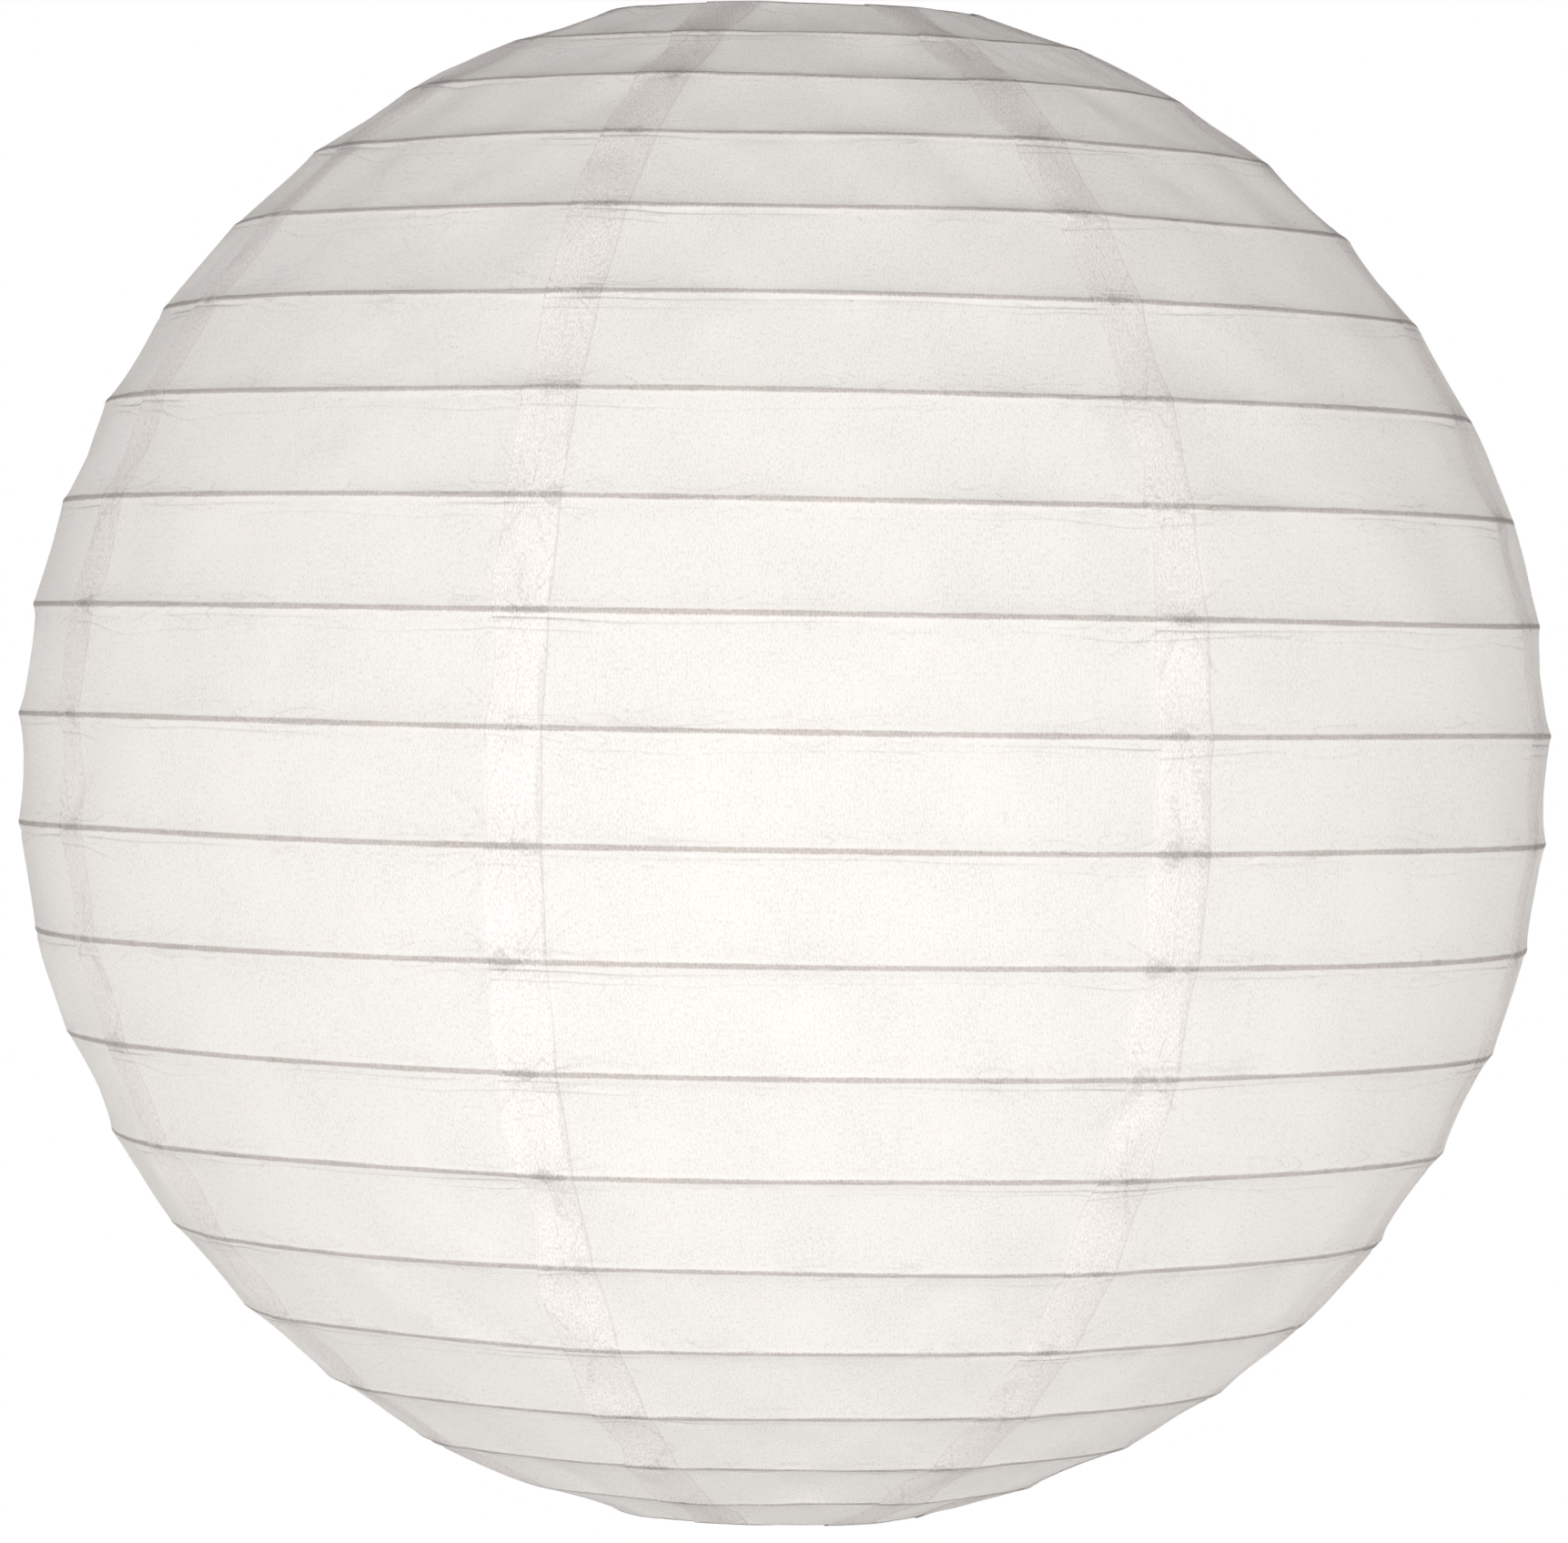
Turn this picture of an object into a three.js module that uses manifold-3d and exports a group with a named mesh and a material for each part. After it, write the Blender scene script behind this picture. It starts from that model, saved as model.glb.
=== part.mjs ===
// A round paper lantern: paper gores over wire ribs, stretched by a wire expander, lit by a battery lamp.
// Millimetres, +Z up. The origin is the bearing point under the crown of the hanging eye.
// The front of the lantern faces -Y, and azimuths are counted from there towards +X.

import * as THREE from 'three';
import { mergeVertices } from 'three/addons/utils/BufferGeometryUtils.js';
import Module from 'manifold-3d';

const wasm = await Module();
wasm.setup();

// Driving dimensions: the shade
const SHADE_RADIUS = 200;
const TOP_POLAR = 14.5;
const BOTTOM_POLAR = 168;
const RIB_COUNT = 18;
const RIB_WIRE_RADIUS = 0.6;
const RIM_WIRE_RADIUS = 1.0;
const TOP_RIM_Z = -3;

// Driving dimensions: the paper
const GORE_COUNT = 8;
const FIRST_SEAM = 28.2;
const LAP_WIDTH = 14;
const PAPER_THICKNESS = 0.4;
const PAPER_CLEARANCE = 2;
const LAP_STEP = 0.75;

// Driving dimensions: the expander
const EXPANDER_WIRE_RADIUS = 1.0;
const EYE_RADIUS = 9;
const EYE_PITCH = 2.4;
const LEG_X = 37.6;

// Driving dimensions: the lamp. Heights in its own group count from the centre of the diffuser's ball.
const BALL_CENTRE_Z = -218;
const BALL_RADIUS = 27;
const BALL_WALL = 1.5;
const HOUSING_RADIUS = 20;
const HOUSING_WALL = 2;
const HOUSING_BOTTOM = 21.2;
const HOUSING_TOP = 91;
const BULKHEAD_BOTTOM = 28.6;
const BULKHEAD_TOP = 31.6;
const CAP_THICKNESS = 3;
const CAP_SKIRT = 6;
const CAP_SKIRT_WALL = 1.5;
const CAP_BOSS_TOP = 10;
const CAP_GRIPS = 12;
const CELL_COUNT = 3;
const CELL_RADIUS = 7.1;
const CELL_LENGTH = 49.2;
const CELL_BOTTOM = 38.9;
const CELL_PITCH_RADIUS = 8.38;
const CELL_NUB_RADIUS = 2.6;
const CELL_NUB_HEIGHT = 1.3;
const SPRING_TURNS = 3;
const SPRING_HEIGHT = 4.2;
const BOARD_BOTTOM = 25.5;
const BOARD_TOP = 27.1;
const SCREW_X = 13;
const SCREW_RADIUS = 1;
const SCREW_HEAD_RADIUS = 2.4;
const CHIP_COUNT = 4;
const CHIP_SIDE = 5;
const CHIP_UNDERSIDE = 23.7;
const CHIP_PITCH_RADIUS = 8;
const NECK_TOP = 23.2;
const SLOT_WIDTH = 5.6;
const SLOT_HEIGHT = 10.6;
const SLOT_Z = 62;
const KNOB_HEIGHT = 5.8;
const SWITCH_TRAVEL = 4;
const HOOK_WIRE_RADIUS = 0.9;
const HOOK_RADIUS = 5.4;
const HOOK_DROP = 2.5;

// Facet counts
const RING_SEGMENTS = 32;
const TURNED_SEGMENTS = 24;
const GORE_COLUMNS = 4;

const CLEARANCE = 0.3;

const ribSphere = SHADE_RADIUS - RIB_WIRE_RADIUS;
const centreZ = TOP_RIM_Z - ribSphere * Math.cos(radians(TOP_POLAR));

const colours = {
  paper: { color: 0xf4efe6, roughness: 0.95 },
  rib_wire: { color: 0x9d9892, roughness: 0.5, metalness: 0.6 },
  rim_wire: { color: 0xb9b5ae, roughness: 0.4, metalness: 0.8 },
  expander_wire: { color: 0xc2c2c0, roughness: 0.3, metalness: 0.9 },
  white_plastic: { color: 0xf1f0ec, roughness: 0.45 },
  diffuser: { color: 0xfffaf0, roughness: 0.6, emissive: 0xfff1d8 },
  cell: { color: 0x3f4650, roughness: 0.35, metalness: 0.4 },
  contact: { color: 0xd8d4c8, roughness: 0.3, metalness: 0.9 },
  board: { color: 0xe8ebe6, roughness: 0.6 },
  led: { color: 0xfff2b0, roughness: 0.4, emissive: 0xfff1d8 },
  screw: { color: 0xa9a9a9, roughness: 0.35, metalness: 0.9 },
  switch_knob: { color: 0x55585c, roughness: 0.5 },
};

const lantern = new THREE.Group();
const shade = new THREE.Group();
const lamp = new THREE.Group();
lamp.position.z = BALL_CENTRE_Z;
lantern.add(shade, lamp);

function radians(degrees) {
  return degrees * Math.PI / 180;
}

function place(parent, name, geometry, finish) {
  const mesh = new THREE.Mesh(geometry, new THREE.MeshStandardMaterial(colours[finish]));
  mesh.name = name;
  parent.add(mesh);
  return mesh;
}

// A geometry with only its positions, and shared corners merged.
function welded(geometry) {
  geometry.deleteAttribute('normal');
  geometry.deleteAttribute('uv');
  return mergeVertices(geometry, 1e-4);
}

function solid(geometry) {
  const merged = welded(geometry);
  const vertProperties = new Float32Array(merged.attributes.position.array);
  const triVerts = new Uint32Array(merged.index.array);
  return new wasm.Manifold(new wasm.Mesh({ numProp: 3, vertProperties, triVerts }));
}

function geometryOf(body) {
  const mesh = body.getMesh();
  const geometry = new THREE.BufferGeometry();
  geometry.setAttribute('position', new THREE.BufferAttribute(new Float32Array(mesh.vertProperties), 3));
  geometry.setIndex(new THREE.BufferAttribute(new Uint32Array(mesh.triVerts), 1));
  return geometry;
}

// A solid turned about Z from [radius, height] pairs, which run anticlockwise in that half plane.
function turned(profile, segments = TURNED_SEGMENTS) {
  const points = profile.map(([r, z]) => new THREE.Vector2(r, z));
  if (profile[0][0] > 0) {
    points.push(points[0].clone());
  }
  const geometry = new THREE.LatheGeometry(points, segments);
  geometry.rotateX(Math.PI / 2);
  return geometry;
}

function cylinder(radius, bottom, top, segments = TURNED_SEGMENTS) {
  return turned([[0, bottom], [radius, bottom], [radius, top], [0, top]], segments);
}

function moved(geometry, x, y, z) {
  geometry.translate(x, y, z);
  return geometry;
}

// A line through given points, which steps from point to point and mitres each corner evenly.
class WireLine extends THREE.Curve {
  constructor(points) {
    super();
    this.points = points;
  }

  getPoint(t, target = new THREE.Vector3()) {
    const last = this.points.length - 1;
    const index = Math.min(Math.floor(t * last + 1e-9), last - 1);
    return target.lerpVectors(this.points[index], this.points[index + 1], t * last - index);
  }

  getUtoTmapping(u) {
    return u;
  }

  getTangent(t, target = new THREE.Vector3()) {
    const last = this.points.length - 1;
    const index = Math.round(t * last);
    const before = this.points[Math.max(index - 1, 0)];
    const here = this.points[index];
    const after = this.points[Math.min(index + 1, last)];
    const incoming = here.clone().sub(before).normalize();
    const outgoing = after.clone().sub(here).normalize();
    return target.addVectors(incoming, outgoing).normalize();
  }
}

// Round wire along a list of [x, y, z] points.
function wire(route, radius, sides = 6) {
  const line = new WireLine(route.map((p) => new THREE.Vector3(...p)));
  const section = [];
  for (let i = 0; i < sides; i += 1) {
    const angle = 2 * Math.PI * i / sides;
    section.push(new THREE.Vector2(radius * Math.cos(angle), radius * Math.sin(angle)));
  }
  const settings = { steps: route.length - 1, extrudePath: line, bevelEnabled: false };
  return new THREE.ExtrudeGeometry(new THREE.Shape(section), settings);
}

// Each inner corner of a route is cut back and rounded with a short curve.
function rounded(route, reach, steps = 2) {
  const points = route.map((p) => new THREE.Vector3(...p));
  const made = [points[0]];
  for (let i = 1; i < points.length - 1; i += 1) {
    const corner = points[i];
    const back = points[i - 1].clone().sub(corner);
    const on = points[i + 1].clone().sub(corner);
    const start = corner.clone().addScaledVector(back, Math.min(reach / back.length(), 0.45));
    const end = corner.clone().addScaledVector(on, Math.min(reach / on.length(), 0.45));
    made.push(...new THREE.QuadraticBezierCurve3(start, corner, end).getPoints(steps));
  }
  made.push(points[points.length - 1]);
  return made.map((p) => p.toArray());
}

// Rings of the shade, from the top rim through the ribs to the bottom rim.
function shadeRings() {
  const rings = [];
  for (let i = 0; i <= RIB_COUNT + 1; i += 1) {
    const polar = radians(TOP_POLAR + (BOTTOM_POLAR - TOP_POLAR) * i / (RIB_COUNT + 1));
    rings.push({
      radius: ribSphere * Math.sin(polar),
      z: centreZ + ribSphere * Math.cos(polar),
      outward: [Math.sin(polar), Math.cos(polar)],
      isRim: i === 0 || i === RIB_COUNT + 1,
    });
  }
  return rings;
}

function addRings(rings) {
  rings.forEach((ring, i) => {
    const wireRadius = ring.isRim ? RIM_WIRE_RADIUS : RIB_WIRE_RADIUS;
    const sides = ring.isRim ? 6 : 5;
    const name = i === 0 ? 'top_rim' : ring.isRim ? 'bottom_rim' : `rib_${i}`;
    const geometry = new THREE.TorusGeometry(ring.radius, wireRadius, sides, RING_SEGMENTS);
    place(shade, name, geometry, ring.isRim ? 'rim_wire' : 'rib_wire').position.z = ring.z;
  });
}

// The paper's middle surface beside a ring: outside a rim's wire, and over a rib.
function paperPoint(ring) {
  if (ring.isRim) {
    const beside = RIM_WIRE_RADIUS + CLEARANCE + PAPER_THICKNESS / 2;
    return [ring.radius + beside, ring.z + 0.2];
  }
  return [ring.radius + PAPER_CLEARANCE * ring.outward[0], ring.z + PAPER_CLEARANCE * ring.outward[1]];
}

// One row of a gore: its azimuths, each with how far it is lifted to lie over the next gore's edge.
function goreRow(radius, seam) {
  const lap = LAP_WIDTH / 2 / radius;
  const edge = CLEARANCE / radius;
  const from = radians(seam) + lap;
  const to = radians(seam + 360 / GORE_COUNT) - lap;
  const row = [[from - 2 * lap, LAP_STEP], [from + edge, LAP_STEP]];
  for (let i = 1; i <= GORE_COLUMNS; i += 1) {
    row.push([from + edge + (to - from - edge) * i / GORE_COLUMNS, 0]);
  }
  row.push([to + 2 * lap - edge, 0]);
  return row;
}

// A thin sheet of even thickness between two grids of points, closed round its edge.
function sheetSolid(outer, inner) {
  const rows = outer.length;
  const columns = outer[0].length;
  const position = [...outer.flat(), ...inner.flat()].flat();
  const index = [];
  const outside = (i, j) => i * columns + j;
  const inside = (i, j) => rows * columns + outside(i, j);
  const quad = (a, b, c, d) => index.push(a, b, c, a, c, d);
  for (let i = 0; i < rows - 1; i += 1) {
    for (let j = 0; j < columns - 1; j += 1) {
      quad(outside(i, j), outside(i + 1, j), outside(i + 1, j + 1), outside(i, j + 1));
      quad(inside(i, j), inside(i, j + 1), inside(i + 1, j + 1), inside(i + 1, j));
    }
    quad(outside(i, 0), inside(i, 0), inside(i + 1, 0), outside(i + 1, 0));
    const last = columns - 1;
    quad(outside(i + 1, last), inside(i + 1, last), inside(i, last), outside(i, last));
  }
  for (let j = 0; j < columns - 1; j += 1) {
    quad(outside(0, j + 1), inside(0, j + 1), inside(0, j), outside(0, j));
    const last = rows - 1;
    quad(outside(last, j), inside(last, j), inside(last, j + 1), outside(last, j + 1));
  }
  const geometry = new THREE.BufferGeometry();
  geometry.setAttribute('position', new THREE.Float32BufferAttribute(position, 3));
  geometry.setIndex(index);
  return geometry;
}

// A gore runs from rim to rim. Its first edge lies over the end of the gore before it.
function addGore(number, rings) {
  const seam = FIRST_SEAM + 360 / GORE_COUNT * (number - 1);
  const skin = (side) => rings.map((ring) => {
    const [radius, z] = paperPoint(ring);
    return goreRow(radius, seam).map(([azimuth, lift]) => {
      const off = lift + side * PAPER_THICKNESS / 2;
      const r = radius + off * ring.outward[0];
      return [r * Math.sin(azimuth), -r * Math.cos(azimuth), z + off * ring.outward[1]];
    });
  });
  place(shade, `gore_${number}`, sheetSolid(skin(1), skin(-1)), 'paper');
}

// The expander is one wire. It crosses the bottom mouth, climbs inside both rims and closes in a hanging eye.
function expanderRoute(top, bottom) {
  const side = [
    [0.4, 0, bottom.z + 1],
    [12, 0, bottom.z + 1],
    [30, 0, bottom.z - 1.6],
    [38.6, 0, bottom.z - 2.4],
    [LEG_X - 0.4, 0, bottom.z + 0.2],
    [39, 0, bottom.z + 3.4],
    [LEG_X, 0, bottom.z + 10],
    [LEG_X, 0, top.z - 22],
    [top.radius - 6, 0, top.z - 9],
    [top.radius + 0.7, 0, top.z - 4.4],
    [top.radius - 3, 0, top.z - 0.4],
    [top.radius - 1.9, 0, top.z + 2.4],
    [30, 0, top.z - 4],
    [15, EYE_PITCH / 2, 1.5 - 2 * EYE_RADIUS],
    [4, EYE_PITCH / 2, 1 - 2 * EYE_RADIUS],
  ];
  const right = rounded(side, 2.2);
  const left = right.map(([x, y, z]) => [-x, -y, z]);
  const eye = [];
  const steps = 18;
  for (let i = 0; i <= steps; i += 1) {
    const turn = i / steps;
    const angle = 2 * Math.PI * turn - Math.PI / 2;
    const z = 1 - EYE_RADIUS + EYE_RADIUS * Math.sin(angle);
    eye.push([EYE_RADIUS * Math.cos(angle), EYE_PITCH * (turn - 0.5), z]);
  }
  return [...left, ...eye, ...right.reverse()];
}

function addExpander(rings) {
  const top = rings[0];
  const bottom = rings[rings.length - 1];
  const route = expanderRoute(top, bottom);
  place(shade, 'expander', wire(route, EXPANDER_WIRE_RADIUS), 'expander_wire');
  const bore = EXPANDER_WIRE_RADIUS + CLEARANCE + 0.05;
  const ferrule = turned([[bore, -8], [2.2, -8], [2.2, 8], [bore, 8]], 16);
  ferrule.rotateY(Math.PI / 2);
  place(shade, 'expander_ferrule', ferrule, 'screw').position.z = bottom.z + 1;
}

// The lamp's wire hook passes through the hanging eye and ends in the cap's boss.
function addHook() {
  const hookZ = 1 - 2 * EYE_RADIUS - HOOK_DROP - BALL_CENTRE_Z;
  const route = [[0, -HOOK_RADIUS - 1, hookZ - 5]];
  const steps = 12;
  for (let i = 0; i <= steps; i += 1) {
    const angle = Math.PI * (1 - i / steps);
    route.push([0, HOOK_RADIUS * Math.cos(angle), hookZ + HOOK_RADIUS * Math.sin(angle)]);
  }
  route.push([0, HOOK_RADIUS, hookZ - 4]);
  route.push([0, HOOK_RADIUS - 0.6, hookZ - 7]);
  route.push([0, 0.6, hookZ - 15]);
  route.push([0, 0, hookZ - 18]);
  route.push([0, 0, HOUSING_TOP + 6]);
  place(lamp, 'lamp_hook', wire(route, HOOK_WIRE_RADIUS, 8), 'expander_wire');
}

// The twist-off cap closes the battery chamber, and its boss takes the hook.
function addCap() {
  const bottom = HOUSING_TOP + CLEARANCE;
  const top = bottom + CAP_THICKNESS;
  const skirtOuter = HOUSING_RADIUS - HOUSING_WALL - CLEARANCE;
  const skirtInner = skirtOuter - CAP_SKIRT_WALL;
  const bossTop = top + CAP_BOSS_TOP;
  const profile = [
    [0, bottom], [skirtInner, bottom], [skirtInner, bottom - CAP_SKIRT], [skirtOuter, bottom - CAP_SKIRT],
    [skirtOuter, bottom], [HOUSING_RADIUS, bottom], [HOUSING_RADIUS, top - 1], [HOUSING_RADIUS - 1, top],
    [7, top], [5.5, top + 1.5], [5, bossTop - 1], [4, bossTop], [0, bossTop],
  ];
  const hole = cylinder(HOOK_WIRE_RADIUS + 0.4, bottom + 5, bossTop + 2, 12);
  let cap = solid(turned(profile)).subtract(solid(hole));
  for (let i = 0; i < CAP_GRIPS; i += 1) {
    const groove = moved(cylinder(0.9, bottom - 1, top + 1, 4), HOUSING_RADIUS + 0.1, 0, 0);
    groove.rotateZ(2 * Math.PI * i / CAP_GRIPS);
    cap = cap.subtract(solid(groove));
  }
  place(lamp, 'battery_cap', geometryOf(cap), 'white_plastic');
  place(lamp, 'cap_contact', cylinder(15.6, HOUSING_TOP - 0.6, HOUSING_TOP), 'contact');
}

// The housing is a tube with a bulkhead: battery chamber above it, and the light below.
function addHousing() {
  const inner = HOUSING_RADIUS - HOUSING_WALL;
  const profile = [
    [0, BULKHEAD_BOTTOM], [inner, BULKHEAD_BOTTOM], [inner, HOUSING_BOTTOM], [HOUSING_RADIUS, HOUSING_BOTTOM],
    [HOUSING_RADIUS, HOUSING_TOP], [inner, HOUSING_TOP], [inner, BULKHEAD_TOP], [0, BULKHEAD_TOP],
  ];
  let housing = solid(turned(profile));
  for (const side of [-1, 1]) {
    const bore = cylinder(SCREW_RADIUS + 0.1 + CLEARANCE, BULKHEAD_BOTTOM - 1, BULKHEAD_BOTTOM + 2, 10);
    housing = housing.subtract(solid(moved(bore, SCREW_X * side, 0, 0)));
  }
  const slot = new THREE.BoxGeometry(SLOT_WIDTH, 4 * HOUSING_WALL, SLOT_HEIGHT);
  housing = housing.subtract(solid(moved(slot, 0, -HOUSING_RADIUS, SLOT_Z)));
  place(lamp, 'lamp_housing', geometryOf(housing), 'white_plastic');
}

// The slide switch: a knob through the slot, on a plate that runs inside the wall. It rests at "on", low.
function addSwitch() {
  const knob = new THREE.BoxGeometry(SLOT_WIDTH - 2 * CLEARANCE, 5.4, KNOB_HEIGHT);
  const plate = new THREE.BoxGeometry(SLOT_WIDTH + HOUSING_WALL, 1.2, KNOB_HEIGHT + SWITCH_TRAVEL + 2.2);
  moved(knob, 0, 1.7 - HOUSING_RADIUS, SLOT_Z - SWITCH_TRAVEL / 2);
  moved(plate, 0, 2 * HOUSING_WALL - HOUSING_RADIUS, SLOT_Z - 1);
  place(lamp, 'switch_slider', geometryOf(solid(knob).add(solid(plate))), 'switch_knob');
}

function addCells() {
  const top = CELL_BOTTOM + CELL_LENGTH;
  const middle = (CELL_BOTTOM + top) / 2;
  const edge = 0.6;
  const profile = [
    [0, CELL_BOTTOM], [CELL_RADIUS - edge, CELL_BOTTOM], [CELL_RADIUS, CELL_BOTTOM + edge],
    [CELL_RADIUS, top - edge], [CELL_RADIUS - edge, top], [CELL_NUB_RADIUS, top],
    [CELL_NUB_RADIUS, top + CELL_NUB_HEIGHT], [0, top + CELL_NUB_HEIGHT],
  ];
  for (let i = 0; i < CELL_COUNT; i += 1) {
    const cell = turned(profile, 20);
    if (i === 1) {
      cell.translate(0, 0, -middle);
      cell.rotateX(Math.PI);
      cell.translate(0, 0, middle);
    }
    const azimuth = radians(60 + 360 / CELL_COUNT * i);
    const x = CELL_PITCH_RADIUS * Math.sin(azimuth);
    const y = -CELL_PITCH_RADIUS * Math.cos(azimuth);
    place(lamp, `battery_cell_${i + 1}`, moved(cell, x, y, 0), 'cell');
    addSpring(i + 1, x, y);
  }
}

// A tapering contact spring between the bulkhead and a cell.
function addSpring(number, x, y) {
  const steps = 10 * SPRING_TURNS;
  const route = [];
  for (let i = 0; i <= steps; i += 1) {
    const angle = 2 * Math.PI * SPRING_TURNS * i / steps;
    const radius = 4.6 - 2 * i / steps;
    const z = BULKHEAD_TOP + 0.8 + SPRING_HEIGHT * i / steps;
    route.push([x + radius * Math.cos(angle), y + radius * Math.sin(angle), z]);
  }
  place(lamp, `contact_spring_${number}`, wire(route, 0.4, 5), 'contact');
}

// The board under the bulkhead, its screws and the light-emitting chips.
function addBoard() {
  const screwProfile = [
    [0, 23.6], [SCREW_HEAD_RADIUS - 0.2, 23.6], [SCREW_HEAD_RADIUS, 24.2], [SCREW_HEAD_RADIUS, 25.2],
    [SCREW_RADIUS, 25.2], [SCREW_RADIUS, 30], [0, 30],
  ];
  let board = solid(cylinder(HOUSING_RADIUS - HOUSING_WALL - 0.5, BOARD_BOTTOM, BOARD_TOP));
  [-1, 1].forEach((side, i) => {
    const hole = cylinder(SCREW_RADIUS + 0.4, BOARD_BOTTOM - 1, BOARD_TOP + 1, 10);
    board = board.subtract(solid(moved(hole, SCREW_X * side, 0, 0)));
    place(lamp, `board_screw_${i + 1}`, moved(turned(screwProfile, 12), SCREW_X * side, 0, 0), 'screw');
  });
  place(lamp, 'circuit_board', geometryOf(board), 'board');
  const chipTop = BOARD_BOTTOM - CLEARANCE;
  for (let i = 0; i < CHIP_COUNT; i += 1) {
    const angle = radians(45 + 360 / CHIP_COUNT * i);
    const chip = new THREE.BoxGeometry(CHIP_SIDE, CHIP_SIDE, chipTop - CHIP_UNDERSIDE);
    const x = CHIP_PITCH_RADIUS * Math.cos(angle);
    const y = CHIP_PITCH_RADIUS * Math.sin(angle);
    place(lamp, `led_chip_${i + 1}`, moved(chip, x, y, (chipTop + CHIP_UNDERSIDE) / 2), 'led');
  }
}

// The frosted ball, open at its neck, which pushes up into the housing.
function addDiffuser() {
  const neck = HOUSING_RADIUS - HOUSING_WALL - CLEARANCE;
  const arc = (radius, shoulder) => {
    const points = [];
    const steps = 9;
    const start = Math.asin(shoulder / radius);
    for (let i = 0; i <= steps; i += 1) {
      const polar = start + (Math.PI - start) * i / steps;
      points.push([i === steps ? 0 : radius * Math.sin(polar), radius * Math.cos(polar)]);
    }
    return points;
  };
  const outer = arc(BALL_RADIUS, neck).reverse();
  const inner = arc(BALL_RADIUS - BALL_WALL, neck - BALL_WALL);
  const profile = [...outer, [neck, NECK_TOP], [neck - BALL_WALL, NECK_TOP], ...inner];
  place(lamp, 'light_diffuser', turned(profile), 'diffuser');
}

const rings = shadeRings();
for (let number = 1; number <= GORE_COUNT; number += 1) {
  addGore(number, rings);
}
addRings(rings);
addExpander(rings);
addHook();
addCap();
addHousing();
addSwitch();
addCells();
addBoard();
addDiffuser();

export default lantern;
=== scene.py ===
"""A paper lantern built round its CAD frame: paper gores, wire ribs, a wire expander and a battery lamp."""
import math

import bmesh
import bpy
import numpy as np
from mathutils import Matrix, Vector


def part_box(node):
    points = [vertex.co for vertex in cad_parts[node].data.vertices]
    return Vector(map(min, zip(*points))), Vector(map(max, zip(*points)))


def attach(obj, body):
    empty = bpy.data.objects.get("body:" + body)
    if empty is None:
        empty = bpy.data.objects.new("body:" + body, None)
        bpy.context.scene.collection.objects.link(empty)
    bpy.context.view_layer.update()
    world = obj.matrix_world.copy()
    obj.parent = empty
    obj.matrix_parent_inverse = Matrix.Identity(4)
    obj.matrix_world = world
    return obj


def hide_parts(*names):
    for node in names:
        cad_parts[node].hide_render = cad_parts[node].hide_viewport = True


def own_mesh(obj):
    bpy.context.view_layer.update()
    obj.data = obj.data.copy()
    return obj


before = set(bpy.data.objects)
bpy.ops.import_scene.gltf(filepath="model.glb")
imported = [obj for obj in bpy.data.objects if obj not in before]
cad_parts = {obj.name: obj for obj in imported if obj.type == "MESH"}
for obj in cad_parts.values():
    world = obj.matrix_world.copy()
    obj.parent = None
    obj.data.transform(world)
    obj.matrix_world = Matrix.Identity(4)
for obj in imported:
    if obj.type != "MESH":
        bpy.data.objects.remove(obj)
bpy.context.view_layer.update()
MM = 0.001

# ---------------------------------------------------------------- the shade's rings, as the frame has them
RIB_COUNT = 18
GORE_COUNT = 8
FIRST_SEAM = 28.2
# Degrees by which each seam strays from its even place, as it does on sheets lapped by hand.
SEAM_STRAYS = [0.6, 0.9, 0.8, 0.3, -0.4, -1.2, -2.2, -2.1]
LAP_WIDTH = 14 * MM
RIB_WIRE_RADIUS = 0.6 * MM
RIM_WIRE_RADIUS = 1.0 * MM
PAPER_GAP = 0.13 * MM
SEAMS = [math.radians(FIRST_SEAM + 360 / GORE_COUNT * i + stray) for i, stray in enumerate(SEAM_STRAYS)]
SEAMS.append(SEAMS[0] + 2 * math.pi)


def ring_of(node, wire_radius):
    low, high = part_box(node)
    return (high.x - low.x) / 2 - wire_radius, (high.z + low.z) / 2


RING_NODES = ["top_rim"] + [f"rib_{i}" for i in range(1, RIB_COUNT + 1)] + ["bottom_rim"]
RING_WIRES = [RIM_WIRE_RADIUS] + [RIB_WIRE_RADIUS] * RIB_COUNT + [RIM_WIRE_RADIUS]
RINGS = [ring_of(node, wire) for node, wire in zip(RING_NODES, RING_WIRES)]
BOTTOM_Z = RINGS[-1][1]
BALL_LOW, BALL_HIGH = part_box("light_diffuser")
BALL_RADIUS = (BALL_HIGH.x - BALL_LOW.x) / 2
BALL_CENTRE = Vector((0, 0, BALL_LOW.z + BALL_RADIUS))


def sphere_of_rings():
    """Radius and centre height of the ball that the ring centre-lines lie on."""
    (r0, z0), (r1, z1) = RINGS[0], RINGS[-1]
    centre = ((r0 ** 2 + z0 ** 2) - (r1 ** 2 + z1 ** 2)) / (2 * (z0 - z1))
    return math.hypot(r0, z0 - centre), centre


BALL_OF_RINGS, CENTRE_Z = sphere_of_rings()


# ---------------------------------------------------------------- camera
CAMERA_DISTANCE = 2.0
CAMERA_ABOVE = 29.8 * MM
CAMERA_LENS = 175.1
CAMERA_SENSOR = 36
CAMERA_REACH = 50
CAMERA_DIP = math.radians(0.94)
CAMERA_ROLL = math.radians(0.9)


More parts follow.
